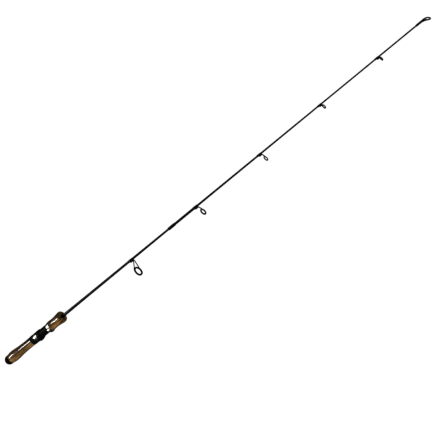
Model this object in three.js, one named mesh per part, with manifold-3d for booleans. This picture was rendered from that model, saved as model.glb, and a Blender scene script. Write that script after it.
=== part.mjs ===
// Ice fishing rod in two sections, with wooden grips, a reel seat that clamps the reel's foot by a screwed
// sliding hood, five single-foot line guides and a tip top. Units are millimetres.
//
// The rod's axis is the X axis, from the butt end at x = 0 towards the tip. The rod lies on its side: the
// reel side of the seat and the guides face -Y, and +Z is up. Stations are distances from the butt end.

import * as THREE from 'three';
import { mergeVertices } from 'three/addons/utils/BufferGeometryUtils.js';
import Module from 'manifold-3d';

const wasm = await Module();
wasm.setup();

// ---------------------------------------------------------------- driving dimensions

const GAP = 0.3; // between faces that butt against each other
const FIT = 0.12; // radial, between turned pieces that are glued one inside the other
const RUNNING = 0.1; // radial, between the seat barrel and what slides or turns on it
const FERRULE_CLEARANCE = 0.08; // radial, between the butt section's end and the socket over it

const GRIP_BORE_RADIUS = 3.85;
const CAP_END = 20.5;
const CAP_RADIUS = 11.7;
const CAP_FLAT_RADIUS = 3.2;
const CAP_WALL = 2.6;
const CAP_FLOOR = 4;
const SEAT_START = 113;
const SEAT_END = 188.2;
const FOREGRIP_END = 231.5;
const CHECK_END = 240;

const BARREL_RADIUS = 10;
const BARREL_BORE_RADIUS = 7.2;
const PAD_DEPTH = 8.3; // from the axis to the flat that the reel's foot sits on
const SUNK_PAD_DEPTH = 8.15; // the same flat where it runs under the hoods
const NUT_END = 127.2;
const NUT_RADIUS = 11.4;
const NUT_FLUTES = 26;
const NUT_FLUTE_DEPTH = 0.3;
const BAND_END = 137.6;
const BAND_RADIUS = 11.5;
const BAND_THICKNESS = 0.4;
const HOOD_END = 147;
const HOOD_RADIUS = 11.6;
const HOOD_MOUTH_SLANT = 5.5; // along X, from the round part's rim to the top of the bulge
const BULGE_START = 131.5; // where the sliding hood's bulge rises through a notch in the band
const BULGE_RAMP = 5; // along X, up to the bulge's full height
const REAR_POCKET_START = 139;
const FIXED_HOOD_START = 176;
const FIXED_RIM_START = 178.8; // where the round part of the fixed hood begins
const FIXED_HOOD_RADIUS = 11.9;
const FIXED_MOUTH_SLANT = 3.6;
const FRONT_POCKET_END = 186.6;

const ARCH_TOP = 14; // of the hoods' bulge over the reel's foot, from the axis
const ARCH_HALF_WIDTH = 7.4;
const ARCH_CORNER_RADIUS = 5.6;
const ARCH_WALL = 0.8;
const POCKET_TOP = ARCH_TOP - ARCH_WALL;
const POCKET_END_HEIGHT = 10.3; // of a pocket at its closed end, from the axis
const TOE_SLOT_RADIUS = 10.45; // thin end of the rear pocket, under the band
const TOE_SLOT_WIDTH = 10.4;

const RIVET_STATION = 184.6;
const RIVET_ANGLE = THREE.MathUtils.degToRad(56); // from the reel side, round towards the top
const RIVET_RADIUS = 1.05;

const FERRULE_MOUTH = 624;
const MALE_END = 690;
const SOCKET_END = 698;
const FERRULE_WRAP_END = 646;
const TIP_BLANK_END = 1362;
const TIP_TUBE_START = 1344;
const TIP_TUBE_END = 1365;
const TIP_TUBE_RADIUS = 2.05;
const BLANK_WALL = 0.7;

// Outer radius of each blank at its stations.
const BUTT_BLANK = [[8, 3.5], [262, 3.5], [300, 3.2], [333, 3.1], [610, 2.28], [MALE_END, 2]];
const TIP_BLANK = [
  [FERRULE_MOUTH, 2.8], [714, 2.7], [722, 2.25], [820, 2.08], [980, 1.75], [1120, 1.55], [1361.4, 1.45],
];
const FERRULE_WRAP_RADIUS = 3.4;

// Each guide: station of its ring, ring centre's distance from the axis, ring's outer and inner diameter,
// station where the leg leaves the blank, lengths of its foot and of the thread over it, how many wire legs
// it stands on, and the thickness of its single stem where it has one.
const GUIDES = [
  { ring: 504.3, height: 34.9, outer: 22.4, inner: 14.6, base: 500, foot: 12, wrap: 16, legs: 2 },
  { ring: 731.2, height: 21.5, outer: 15.2, inner: 8.8, base: 722.5, foot: 11, wrap: 15, stem: 2.1 },
  { ring: 928.3, height: 17.1, outer: 11.3, inner: 6.4, base: 922.5, foot: 9, wrap: 12.5, stem: 1.9 },
  { ring: 1099.1, height: 8.9, outer: 9.9, inner: 5.1, base: 1097, foot: 8, wrap: 11.5, stem: 1.3 },
  { ring: 1253.1, height: 7.2, outer: 8.9, inner: 4.4, base: 1251, foot: 7.5, wrap: 10.5, stem: 1.15 },
];
const RING_LEAN = THREE.MathUtils.degToRad(6); // of every guide ring, its outer end towards the tip
const WIRE_RADIUS = 1.1;
const FRAME_SHARE = 0.36; // of a ring's width that is its metal frame, outside the insert

const TIP_RING = { x: 1370.5, y: -3.5, outer: 12.6, inner: 7.4 };
const TIP_WIRE_RADIUS = 0.8;
const TIP_RING_LEAN = THREE.MathUtils.degToRad(-110); // turn of the ring's axis from +X, about +Z

// ---------------------------------------------------------------- materials

const MATERIALS = {
  wood: { color: 0x6a4321, roughness: 0.18, metalness: 0 },
  rubber: { color: 0x0c0c0d, roughness: 0.5, metalness: 0 },
  seat: { color: 0x111214, roughness: 0.35, metalness: 0 },
  silver: { color: 0xd8d9dc, roughness: 0.12, metalness: 1 },
  blank: { color: 0x0a0a0b, roughness: 0.22, metalness: 0 },
  thread: { color: 0x090909, roughness: 0.2, metalness: 0 },
  frame: { color: 0x2b2c2f, roughness: 0.3, metalness: 1 },
  insert: { color: 0x0b0b0c, roughness: 0.15, metalness: 0 },
  arbor: { color: 0xb08a5a, roughness: 0.9, metalness: 0 },
};

// ---------------------------------------------------------------- shape helpers

// A closed three.js geometry as a manifold-3d solid with its faces pointing out.
function solid(geometry) {
  const bare = geometry.clone();
  bare.deleteAttribute('normal');
  bare.deleteAttribute('uv');
  const merged = mergeVertices(bare, 1e-4);
  const points = merged.attributes.position;
  const index = merged.index.array;
  const corner = [new THREE.Vector3(), new THREE.Vector3(), new THREE.Vector3()];
  const faces = [];
  let volume = 0;
  for (let i = 0; i < index.length; i += 3) {
    const face = [index[i], index[i + 1], index[i + 2]];
    if (new Set(face).size < 3) continue;
    face.forEach((v, k) => corner[k].fromBufferAttribute(points, v));
    volume += corner[0].dot(corner[1].clone().cross(corner[2]));
    faces.push(face);
  }
  if (volume < 0) faces.forEach((face) => face.reverse());
  return new wasm.Manifold(new wasm.Mesh({
    numProp: 3,
    vertProperties: Float32Array.from(points.array),
    triVerts: Uint32Array.from(faces.flat()),
  }));
}

// A named mesh from a solid, with a material of its own.
function piece(name, shape, material) {
  const data = shape.getMesh();
  const geometry = new THREE.BufferGeometry();
  geometry.setAttribute('position', new THREE.BufferAttribute(data.vertProperties, 3));
  geometry.setIndex(new THREE.BufferAttribute(data.triVerts, 1));
  geometry.computeVertexNormals();
  const mesh = new THREE.Mesh(geometry, new THREE.MeshStandardMaterial(MATERIALS[material]));
  mesh.name = name;
  return mesh;
}

// A turned geometry about the X axis from [station, radius] points.
function turned(profile, segments = 40) {
  const points = profile.map(([x, r]) => new THREE.Vector2(r, x));
  return new THREE.LatheGeometry(points, segments).rotateZ(-Math.PI / 2);
}

// A turned tube from its outer and inner [station, radius] points, both listed towards the tip.
function turnedTube(outer, inner, segments = 40) {
  return turned([...outer, ...inner.slice().reverse(), outer[0]], segments);
}

// A plain tube between two stations.
function sleeve(start, end, outer, inner, segments = 40) {
  return turnedTube([[start, outer], [end, outer]], [[start, inner], [end, inner]], segments);
}

// A solid bar between two stations.
function bar(start, end, radius, segments = 40) {
  return turned([[start, 0], [start, radius], [end, radius], [end, 0]], segments);
}

// A shape drawn in the YZ plane, carried along X between two stations.
function sectionAlongX(shape, start, end) {
  const options = { depth: end - start, bevelEnabled: false, curveSegments: 10 };
  const geometry = new THREE.ExtrudeGeometry(shape, options);
  const axes = [new THREE.Vector3(0, 1, 0), new THREE.Vector3(0, 0, 1), new THREE.Vector3(1, 0, 0)];
  return geometry.applyMatrix4(new THREE.Matrix4().makeBasis(...axes)).translate(start, 0, 0);
}

// A side view drawn in the XY plane, as a plate of the given width centred on z = 0.
function plate(points, width) {
  const shape = new THREE.Shape(points.map(([x, y]) => new THREE.Vector2(x, y)));
  return new THREE.ExtrudeGeometry(shape, { depth: width, bevelEnabled: false }).translate(0, 0, -width / 2);
}

// A round wire through the given points.
function wire(points, radius, steps) {
  const circle = new THREE.Shape().absarc(0, 0, radius, 0, 2 * Math.PI);
  const path = new THREE.CatmullRomCurve3(points.map((p) => new THREE.Vector3(...p)));
  const options = { steps, extrudePath: path, curveSegments: 5, bevelEnabled: false };
  return new THREE.ExtrudeGeometry(circle, options);
}

// A bent strip of metal along a centre line of [x, y, thickness] points in the XY plane.
function bentStrip(line, width) {
  const points = line.map(([x, y]) => new THREE.Vector2(x, y));
  const side = (sign) => points.map((p, i) => {
    const before = points[Math.max(i - 1, 0)];
    const after = points[Math.min(i + 1, points.length - 1)];
    const along = after.clone().sub(before).normalize();
    const reach = sign * line[i][2] / 2;
    return [p.x - reach * along.y, p.y + reach * along.x];
  });
  return plate([...side(1), ...side(-1).reverse()], width);
}

// The outline round a circle at the axis and a smaller one towards the reel side.
function eggOutline(radius, offset, smallRadius) {
  const tangent = Math.acos((radius - smallRadius) / offset);
  const shape = new THREE.Shape();
  shape.absarc(0, 0, radius, -Math.PI + tangent, Math.PI - tangent, false);
  shape.absarc(-offset, 0, smallRadius, Math.PI - tangent, Math.PI + tangent, false);
  return shape;
}

function radiusAt(stations, x) {
  const last = stations.findIndex(([station]) => station >= x);
  const [x0, r0] = stations[last - 1];
  const [x1, r1] = stations[last];
  return r0 + (r1 - r0) * (x - x0) / (x1 - x0);
}

// Stations and radii of a smooth curve through the given ones.
function smoothProfile(points, count) {
  const curve = new THREE.SplineCurve(points.map(([x, r]) => new THREE.Vector2(x, r)));
  return curve.getPoints(count).map((p) => [p.x, p.y]);
}

// ---------------------------------------------------------------- handle

function buttCap() {
  const dome = [[0, 0], [0, CAP_FLAT_RADIUS]];
  const steps = 8;
  const startAngle = Math.asin(CAP_FLAT_RADIUS / CAP_RADIUS);
  for (let i = 1; i <= steps; i += 1) {
    const angle = startAngle + (Math.PI / 2 - startAngle) * i / steps;
    dome.push([CAP_RADIUS * (Math.cos(startAngle) - Math.cos(angle)), CAP_RADIUS * Math.sin(angle)]);
  }
  const socket = CAP_RADIUS - CAP_WALL;
  dome.push([CAP_END, CAP_RADIUS], [CAP_END, socket], [CAP_FLOOR, socket], [CAP_FLOOR, 0]);
  return piece('butt_cap', solid(turned(dome)), 'rubber');
}

function rearGrip() {
  const tenon = CAP_RADIUS - CAP_WALL - GAP;
  const swell = smoothProfile([
    [CAP_END + GAP, 12.3], [25, 12.95], [31, 13.3], [45, 12.75], [64, 11.4], [84, 10.85], [98, 10.8],
    [SEAT_START - GAP, 11.1],
  ], 22);
  const start = CAP_FLOOR + GAP;
  const outer = [[start, tenon], [CAP_END + GAP, tenon], ...swell];
  const inner = [[start, GRIP_BORE_RADIUS], [SEAT_START - GAP, GRIP_BORE_RADIUS]];
  return piece('rear_grip', solid(turnedTube(outer, inner)), 'wood');
}

function foregrip() {
  const start = SEAT_END + GAP;
  const stations = [[start, 12], [194, 11.75], [201, 11.6], [210, 12], [219, 13], [227, 13.9]];
  const flare = smoothProfile(stations, 12);
  const nose = [[229.2, 13.75], [230.8, 13.1], [FOREGRIP_END, 12.2]];
  const inner = [[start, GRIP_BORE_RADIUS], [FOREGRIP_END, GRIP_BORE_RADIUS]];
  return piece('foregrip', solid(turnedTube([...flare, ...nose], inner)), 'wood');
}

function windingCheck() {
  const bore = radiusAt(BUTT_BLANK, FOREGRIP_END) + FIT;
  const outer = [[FOREGRIP_END + GAP, 5], [234.5, 5], [CHECK_END, 4.1]];
  const inner = [[FOREGRIP_END + GAP, bore], [CHECK_END, bore]];
  return piece('winding_check', solid(turnedTube(outer, inner, 28)), 'rubber');
}

function arbor(name, start, end) {
  const outer = BARREL_BORE_RADIUS - FIT;
  return piece(name, solid(sleeve(start, end, outer, GRIP_BORE_RADIUS, 28)), 'arbor');
}

// ---------------------------------------------------------------- reel seat

// The bulge's section with its outside drawn in by the given amount, reaching in to the axis.
function archOutline(inset) {
  const half = ARCH_HALF_WIDTH - inset;
  const corner = ARCH_CORNER_RADIUS - inset;
  const top = ARCH_TOP - inset;
  const shape = new THREE.Shape();
  shape.moveTo(0, half).lineTo(0, -half);
  shape.absarc(corner - top, corner - half, corner, 1.5 * Math.PI, Math.PI, true);
  return shape.absarc(corner - top, half - corner, corner, Math.PI, 0.5 * Math.PI, true);
}

// The part of the bulge's section that lies under a side view of [station, distance] points.
function archBody(inset, side, start, end) {
  const arch = solid(sectionAlongX(archOutline(inset), start, end));
  const view = side.map(([x, distance]) => [x, -distance]);
  return arch.intersect(solid(plate(view, 4 * ARCH_HALF_WIDTH)));
}

function seatBarrel() {
  const tube = solid(sleeve(SEAT_START, SEAT_END, BARREL_RADIUS, BARREL_BORE_RADIUS, 48));
  const below = BARREL_RADIUS + 1;
  const padStart = HOOD_END + GAP;
  const padEnd = FIXED_HOOD_START - GAP;
  const cut = plate([
    [SEAT_START - 1, -SUNK_PAD_DEPTH], [padStart, -SUNK_PAD_DEPTH], [padStart, -PAD_DEPTH],
    [padEnd, -PAD_DEPTH], [padEnd, -SUNK_PAD_DEPTH], [SEAT_END + 1, -SUNK_PAD_DEPTH],
    [SEAT_END + 1, -below], [SEAT_START - 1, -below],
  ], 2 * BARREL_RADIUS);
  return piece('seat_barrel', tube.subtract(solid(cut)), 'seat');
}

function lockingNut() {
  const outline = new THREE.Shape();
  const perFlute = 4;
  for (let i = 0; i < NUT_FLUTES * perFlute; i += 1) {
    const angle = 2 * Math.PI * i / (NUT_FLUTES * perFlute);
    const radius = NUT_RADIUS - (i % perFlute === 0 ? NUT_FLUTE_DEPTH : 0);
    const point = [radius * Math.cos(angle), radius * Math.sin(angle)];
    if (i === 0) outline.moveTo(...point);
    else outline.lineTo(...point);
  }
  const start = SEAT_START + GAP;
  const body = solid(sectionAlongX(outline, start, NUT_END));
  const bore = solid(bar(start - 1, NUT_END + 1, BARREL_RADIUS + RUNNING, 48));
  return piece('locking_nut', body.subtract(bore), 'seat');
}

function slidingHood() {
  const start = NUT_END + GAP;
  const seatForBand = BAND_RADIUS - BAND_THICKNESS - FIT;
  const step = BAND_END + GAP;
  const shell = [[start, 0], [start, seatForBand], [step, seatForBand], [step, HOOD_RADIUS]];
  shell.push([HOOD_END - 0.5, HOOD_RADIUS], [HOOD_END, HOOD_RADIUS - 0.5], [HOOD_END, 0]);
  const bulge = archBody(0, [
    [BULGE_START, 0], [BULGE_START, BAND_RADIUS], [BULGE_START + BULGE_RAMP / 2, ARCH_TOP - 0.7],
    [BULGE_START + BULGE_RAMP, ARCH_TOP], [HOOD_END - HOOD_MOUTH_SLANT, ARCH_TOP],
    [HOOD_END, HOOD_RADIUS - 0.2], [HOOD_END, 0],
  ], BULGE_START, HOOD_END);
  const pocketStart = REAR_POCKET_START;
  const pocket = archBody(ARCH_WALL, [
    [pocketStart, 0], [pocketStart, POCKET_END_HEIGHT], [pocketStart + 2.4, POCKET_TOP],
    [HOOD_END + 1, POCKET_TOP], [HOOD_END + 1, 0],
  ], pocketStart, HOOD_END + 1);
  const toeBar = solid(bar(start + 2, pocketStart + 1, TOE_SLOT_RADIUS, 48));
  const toeEnd = pocketStart + 2;
  const toeSide = plate([[start, 0], [toeEnd, 0], [toeEnd, -ARCH_TOP], [start, -ARCH_TOP]], TOE_SLOT_WIDTH);
  const bore = solid(bar(start - 1, HOOD_END + 1, BARREL_RADIUS + RUNNING, 48));
  const toeSlot = toeBar.intersect(solid(toeSide));
  const body = solid(turned(shell, 48)).add(bulge).subtract(bore).subtract(pocket).subtract(toeSlot);
  return piece('sliding_hood', body, 'seat');
}

function hoodBand() {
  const inner = BAND_RADIUS - BAND_THICKNESS;
  const start = NUT_END + GAP;
  const edge = inner + 0.15;
  const outer = [[start, edge], [start + 0.3, BAND_RADIUS], [BAND_END - 0.3, BAND_RADIUS], [BAND_END, edge]];
  const ring = solid(turnedTube(outer, [[start, inner], [BAND_END, inner]], 48));
  const notchStart = BULGE_START - FIT;
  const notchEnd = BAND_END + 1;
  const above = ARCH_TOP + 1;
  const side = [[notchStart, 0], [notchStart, above], [notchEnd, above], [notchEnd, 0]];
  return piece('hood_band', ring.subtract(archBody(-FIT, side, notchStart, notchEnd)), 'silver');
}

// Direction of the rivet from the rod's axis.
const rivetDirection = new THREE.Vector3(0, -Math.cos(RIVET_ANGLE), Math.sin(RIVET_ANGLE));

// A bar across the rod at the rivet's place, between two distances from the axis.
function rivetBar(from, to, radius) {
  const geometry = new THREE.CylinderGeometry(radius, radius, to - from, 16);
  const turn = new THREE.Quaternion().setFromUnitVectors(new THREE.Vector3(0, 1, 0), rivetDirection);
  const middle = rivetDirection.clone().multiplyScalar((from + to) / 2);
  return geometry.applyQuaternion(turn).translate(RIVET_STATION, middle.y, middle.z);
}

function fixedHood() {
  const start = FIXED_HOOD_START;
  const rim = FIXED_RIM_START;
  const end = SEAT_END;
  const shell = [[rim, 0], [rim, 10.7], [rim + 0.4, 11.1]];
  shell.push([end - 1.5, FIXED_HOOD_RADIUS], [end, FIXED_HOOD_RADIUS], [end, 0]);
  const bulge = archBody(0, [
    [start, 0], [start, 11.4], [start + FIXED_MOUTH_SLANT, ARCH_TOP], [end - 1.8, ARCH_TOP], [end, 12.7],
    [end, 0],
  ], start, end);
  const pocketEnd = FRONT_POCKET_END;
  const pocket = archBody(ARCH_WALL, [
    [start - 1, 0], [start - 1, POCKET_TOP], [pocketEnd - 2, POCKET_TOP], [pocketEnd, POCKET_END_HEIGHT],
    [pocketEnd, 0],
  ], start - 1, pocketEnd);
  const bore = solid(bar(start - 1, SEAT_END + 1, BARREL_RADIUS + FIT, 48));
  const hole = solid(rivetBar(BARREL_RADIUS, ARCH_TOP, RIVET_RADIUS + 0.25));
  const body = solid(turned(shell, 48)).add(bulge).subtract(bore).subtract(pocket).subtract(hole);
  return piece('fixed_hood', body, 'silver');
}

function fixedHoodRivet() {
  const body = solid(rivetBar(BARREL_RADIUS + GAP, FIXED_HOOD_RADIUS, RIVET_RADIUS));
  return piece('fixed_hood_rivet', body, 'frame');
}

// ---------------------------------------------------------------- blanks

function buttBlank() {
  const inner = BUTT_BLANK.map(([x, r]) => [x, r - BLANK_WALL]);
  return piece('butt_blank', solid(turnedTube(BUTT_BLANK, inner, 28)), 'blank');
}

function tipBlank() {
  const socketAt = (x) => radiusAt(BUTT_BLANK, x) + FERRULE_CLEARANCE;
  const profile = [[SOCKET_END, 0], [SOCKET_END, socketAt(MALE_END)], [MALE_END, socketAt(MALE_END)]];
  profile.push([FERRULE_MOUTH, socketAt(FERRULE_MOUTH)], ...TIP_BLANK);
  profile.push([TIP_BLANK_END, 0.8], [TIP_BLANK_END, 0]);
  return piece('tip_blank', solid(turned(profile, 28)), 'blank');
}

function ferruleWrap() {
  const inner = TIP_BLANK[0][1] + FIT;
  const start = FERRULE_MOUTH + 0.4;
  const end = FERRULE_WRAP_END;
  const thin = inner + 0.15;
  const thick = FERRULE_WRAP_RADIUS;
  const outer = [[start, thin], [start + 1.6, thick], [end - 2, thick], [end, thin]];
  const bore = [[start, inner], [end, inner]];
  return piece('ferrule_wrap', solid(turnedTube(outer, bore, 28)), 'thread');
}

// ---------------------------------------------------------------- guides

// Blank's radius under a guide.
function blankAt(x) {
  return x < FERRULE_MOUTH ? radiusAt(BUTT_BLANK, x) : radiusAt(TIP_BLANK, x);
}

// The metal band round a ring, about the X axis at the origin.
function ringBand(outer, inner, width) {
  const bevel = width * 0.2;
  const half = width / 2;
  const rim = [[-half, outer - bevel], [-half + bevel, outer], [half - bevel, outer], [half, outer - bevel]];
  return turnedTube(rim, [[-half, inner], [half, inner]], 32);
}

// The polished ring that the line runs through, about the X axis at the origin.
function ringInsert(outer, inner, width) {
  const rounding = 5;
  const profile = [[-width / 2, outer], [width / 2, outer]];
  for (let i = 0; i <= rounding; i += 1) {
    const angle = Math.PI * i / rounding;
    profile.push([width / 2 * Math.cos(angle), outer - 0.3 - (outer - 0.3 - inner) * Math.sin(angle)]);
  }
  return turned([...profile, profile[0]], 32);
}

// Radii and widths of a ring's frame and insert.
function ringParts(outerDiameter, innerDiameter) {
  const outer = outerDiameter / 2;
  const inner = innerDiameter / 2;
  const seat = outer - (outer - inner) * FRAME_SHARE;
  const across = outer - inner;
  return { outer, seat, inner, frameWidth: across * 0.8, insertWidth: across * 0.95 };
}

function guideFrame(spec, name) {
  const ring = ringParts(spec.outer, spec.inner);
  const band = ringBand(ring.outer, ring.seat, ring.frameWidth).rotateZ(RING_LEAN);
  let body = solid(band.translate(spec.ring, -spec.height, 0));
  const thickness = footThickness(spec);
  const footY = -(blankAt(spec.base - spec.foot) + GAP + thickness / 2);
  const toe = [spec.base - spec.foot, footY, thickness];
  if (spec.legs === 2) {
    body = body.add(solid(bentStrip([toe, [spec.base + 0.6, footY, thickness]], footWidth(spec))));
    for (const side of [-1, 1]) {
      const reach = ring.seat + WIRE_RADIUS - 0.1;
      const leg = [
        [spec.base, footY, side * 0.5],
        [spec.base + 1, footY - 5, side * 2.4],
        [spec.ring - 1.5, -spec.height + reach * 0.95, side * reach * 0.66],
        [spec.ring - 0.4, -spec.height + reach * 0.42, side * reach * 0.93],
      ];
      body = body.add(solid(wire(leg, WIRE_RADIUS, 10)));
    }
    return piece(name, body, 'frame');
  }
  const overlap = (ring.outer - ring.seat) * 0.45;
  const topY = -spec.height + ring.outer * Math.cos(RING_LEAN) - overlap;
  const top = [spec.ring - ring.outer * Math.sin(RING_LEAN), topY, spec.stem];
  const heel = [spec.base - 1, footY, thickness];
  const knee = [spec.base, footY - thickness * 0.3, spec.stem];
  const stem = bentStrip([toe, heel, knee, top], footWidth(spec));
  return piece(name, body.add(solid(stem)), 'frame');
}

function footWidth(spec) {
  return 2.5 + spec.outer * 0.055;
}

function footThickness(spec) {
  return 0.8 + spec.outer * 0.02;
}

function guideInsert(spec, name) {
  const ring = ringParts(spec.outer, spec.inner);
  const mesh = piece(name, solid(ringInsert(ring.seat - FIT, ring.inner, ring.insertWidth)), 'insert');
  mesh.position.set(spec.ring, -spec.height, 0);
  mesh.rotation.z = RING_LEAN;
  return mesh;
}

// Thread over the guide's foot, round the blank.
function guideWrap(spec, name) {
  const end = spec.base - 1.3;
  const start = end - spec.wrap;
  const blank = blankAt(start);
  const footTop = blankAt(spec.base - spec.foot) + GAP + footThickness(spec);
  const offset = footTop * 0.62;
  const smallRadius = Math.hypot(footTop - offset, footWidth(spec) / 2) + GAP;
  const thread = 0.32;
  const outline = eggOutline(blank + FIT + thread, offset, smallRadius + thread);
  outline.holes.push(eggOutline(blank + FIT, offset, smallRadius));
  return piece(name, solid(sectionAlongX(outline, start, end)), 'thread');
}

function guide(spec, index) {
  const group = new THREE.Group();
  group.add(guideFrame(spec, `guide_${index + 1}_frame`));
  group.add(guideInsert(spec, `guide_${index + 1}_ring`));
  group.add(guideWrap(spec, `guide_${index + 1}_wrap`));
  return group;
}

// ---------------------------------------------------------------- tip top

function tipTop() {
  const bore = radiusAt(TIP_BLANK, TIP_TUBE_START) + FIT;
  const tube = [[TIP_BLANK_END + GAP, 0], [TIP_BLANK_END + GAP, bore], [TIP_TUBE_START, bore]];
  tube.push([TIP_TUBE_START, TIP_TUBE_RADIUS - 0.1], [TIP_TUBE_START + 0.3, TIP_TUBE_RADIUS]);
  tube.push([TIP_TUBE_END - 0.6, TIP_TUBE_RADIUS], [TIP_TUBE_END, 1.3], [TIP_TUBE_END, 0]);
  const ring = ringParts(TIP_RING.outer, TIP_RING.inner);
  const band = ringBand(ring.outer, ring.seat, ring.frameWidth).rotateZ(TIP_RING_LEAN);
  let body = solid(turned(tube, 24)).add(solid(band.translate(TIP_RING.x, TIP_RING.y, 0)));
  for (const side of [-1, 1]) {
    const brace = [
      [TIP_TUBE_END - 7, -0.5, side * 1.4],
      [TIP_TUBE_END - 3, -1, side * 2.4],
      [TIP_RING.x - 2.2, TIP_RING.y + 0.8, side * (ring.outer - 0.5)],
    ];
    body = body.add(solid(wire(brace, TIP_WIRE_RADIUS, 6)));
  }
  body = body.subtract(solid(bar(TIP_TUBE_START - 1, TIP_BLANK_END + GAP, bore, 24)));
  const frame = piece('tip_top_frame', body, 'frame');
  const bowl = solid(ringInsert(ring.seat - FIT, ring.inner, ring.insertWidth));
  const insert = piece('tip_top_ring', bowl, 'insert');
  insert.position.set(TIP_RING.x, TIP_RING.y, 0);
  insert.rotation.z = TIP_RING_LEAN;
  return [frame, insert];
}

// ---------------------------------------------------------------- assembly

const rod = new THREE.Group();
const handle = new THREE.Group();
const seat = new THREE.Group();
const buttSection = new THREE.Group();
const tipSection = new THREE.Group();

handle.add(buttCap(), rearGrip(), foregrip(), windingCheck());
seat.add(seatBarrel(), lockingNut(), slidingHood(), hoodBand(), fixedHood(), fixedHoodRivet());
seat.add(arbor('rear_arbor', SEAT_START + 6, SEAT_START + 26));
seat.add(arbor('front_arbor', SEAT_END - 28, SEAT_END - 8));
buttSection.add(buttBlank(), guide(GUIDES[0], 0));
tipSection.add(tipBlank(), ferruleWrap(), ...tipTop());
GUIDES.slice(1).forEach((spec, i) => tipSection.add(guide(spec, i + 1)));
rod.add(handle, seat, buttSection, tipSection);

export default rod;
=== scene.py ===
"""Looks for the ice fishing rod.

It has lacquered wooden grips, a black and silver reel seat, and black blanks and guides. Lengths are in
millimetres until a mesh is made. The rod's axis is X, from the butt at 0 towards the tip. Angles round the
rod are measured from the reel side, -Y, up towards +Z. The ends and the outer radii of most pieces come from
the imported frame, and the sizes that its boxes don't show repeat the CAD's.
"""

import math

import bmesh
import bpy
from mathutils import Matrix, Vector


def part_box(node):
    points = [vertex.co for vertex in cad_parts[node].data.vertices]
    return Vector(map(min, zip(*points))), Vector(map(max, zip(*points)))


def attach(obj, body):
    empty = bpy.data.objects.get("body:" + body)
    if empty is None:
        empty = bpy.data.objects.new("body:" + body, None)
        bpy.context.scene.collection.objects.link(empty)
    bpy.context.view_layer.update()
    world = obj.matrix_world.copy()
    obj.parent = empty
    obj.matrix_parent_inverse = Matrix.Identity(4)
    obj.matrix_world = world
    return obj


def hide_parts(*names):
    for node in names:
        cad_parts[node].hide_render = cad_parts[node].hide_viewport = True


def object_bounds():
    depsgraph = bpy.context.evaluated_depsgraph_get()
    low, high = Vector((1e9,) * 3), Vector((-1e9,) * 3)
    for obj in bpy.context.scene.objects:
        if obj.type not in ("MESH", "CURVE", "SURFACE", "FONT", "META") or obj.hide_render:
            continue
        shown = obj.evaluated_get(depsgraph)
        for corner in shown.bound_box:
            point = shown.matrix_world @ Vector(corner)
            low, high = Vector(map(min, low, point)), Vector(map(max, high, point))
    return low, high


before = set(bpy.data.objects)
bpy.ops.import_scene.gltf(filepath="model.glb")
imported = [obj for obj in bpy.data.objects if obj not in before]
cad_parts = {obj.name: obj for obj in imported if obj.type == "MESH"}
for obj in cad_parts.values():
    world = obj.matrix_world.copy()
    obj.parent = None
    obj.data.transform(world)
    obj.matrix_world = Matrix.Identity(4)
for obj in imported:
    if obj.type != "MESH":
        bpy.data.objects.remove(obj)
cad_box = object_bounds()

MM = 0.001
AROUND = 96  # segments round a turned piece
EPSILON = 1e-6
FAR = 1e9


def span(node):
    """First station, last station and largest height above the axis of a CAD node, in millimetres."""
    low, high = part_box(node)
    return low.x / MM, high.x / MM, high.z / MM


# ---------------------------------------------------------------- driving dimensions, as in the CAD

GAP = 0.3  # between two fixed pieces
RUNNING = 0.1  # between two pieces that move
GRIP_BORE = 3.85
EDGE = 0.25  # bevel at the ends of the grips
CAP_END, CAP_RADIUS = span("butt_cap")[1:]
CAP_FLAT_RADIUS = 3.2
CAP_WALL = 2.6
CAP_FLOOR = 4.0
GRIP_START, GRIP_END = CAP_END + GAP, span("rear_grip")[1]
GRIP_SWELL = [
    (GRIP_START, 12.3), (25, 12.95), (31, 13.3), (45, 12.75),
    (64, 11.4), (84, 10.85), (98, 10.8), (GRIP_END, 11.1),
]
FORE_START, FORE_END = span("foregrip")[:2]
FORE_FLARE = [(FORE_START, 12), (194, 11.75), (201, 11.6), (210, 12), (219, 13), (227, 13.88)]
FORE_NOSE = [FORE_FLARE[-1], (229.2, 13.73), (230.8, 13.08), (FORE_END, 12.15)]
CHECK_START, CHECK_END = span("winding_check")[:2]
SEAT_START, SEAT_END, BARREL_RADIUS = span("seat_barrel")
BARREL_BORE = 7.2
PAD_DEPTH, SUNK_PAD_DEPTH = 8.3, 8.15
NUT_START, NUT_END, NUT_RADIUS = span("locking_nut")
BAND_START, BAND_END, BAND_RADIUS = span("hood_band")
BAND_THICKNESS = 0.4
HOOD_START, HOOD_END, HOOD_RADIUS = span("sliding_hood")
HOOD_MOUTH_SLANT = 5.5
BULGE_START, BULGE_RAMP = 131.5, 5.0
REAR_POCKET_START = 139.0
FIXED_START, FIXED_END = span("fixed_hood")[:2]
FIXED_RIM_START = 178.8
FIXED_HOOD_RADIUS = 11.9
FIXED_MOUTH_SLANT = 3.6
FRONT_POCKET_END = 186.6

ARCH_TOP = -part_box("sliding_hood")[0].y / MM
ARCH_HALF_WIDTH = 7.4
ARCH_CORNER = 5.6
ARCH_WALL = 0.8
ARCH_COSINE = 0.05  # the bulge is drawn where the cosine of the angle is above this
POCKET_END_TOP, POCKET_MIDDLE_TOP = 10.2, 11.8
FITTED = 0.12  # between the pieces of the reel seat that are pushed together

THREAD_PITCH = 2.0
THREAD_DEPTH = 0.5
THREAD_END = 141.0
NUT_FLUTES = 26

RIVET_STATION = 184.6
RIVET_ANGLE = math.radians(56)
RIVET_RADIUS = 1.05

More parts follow.
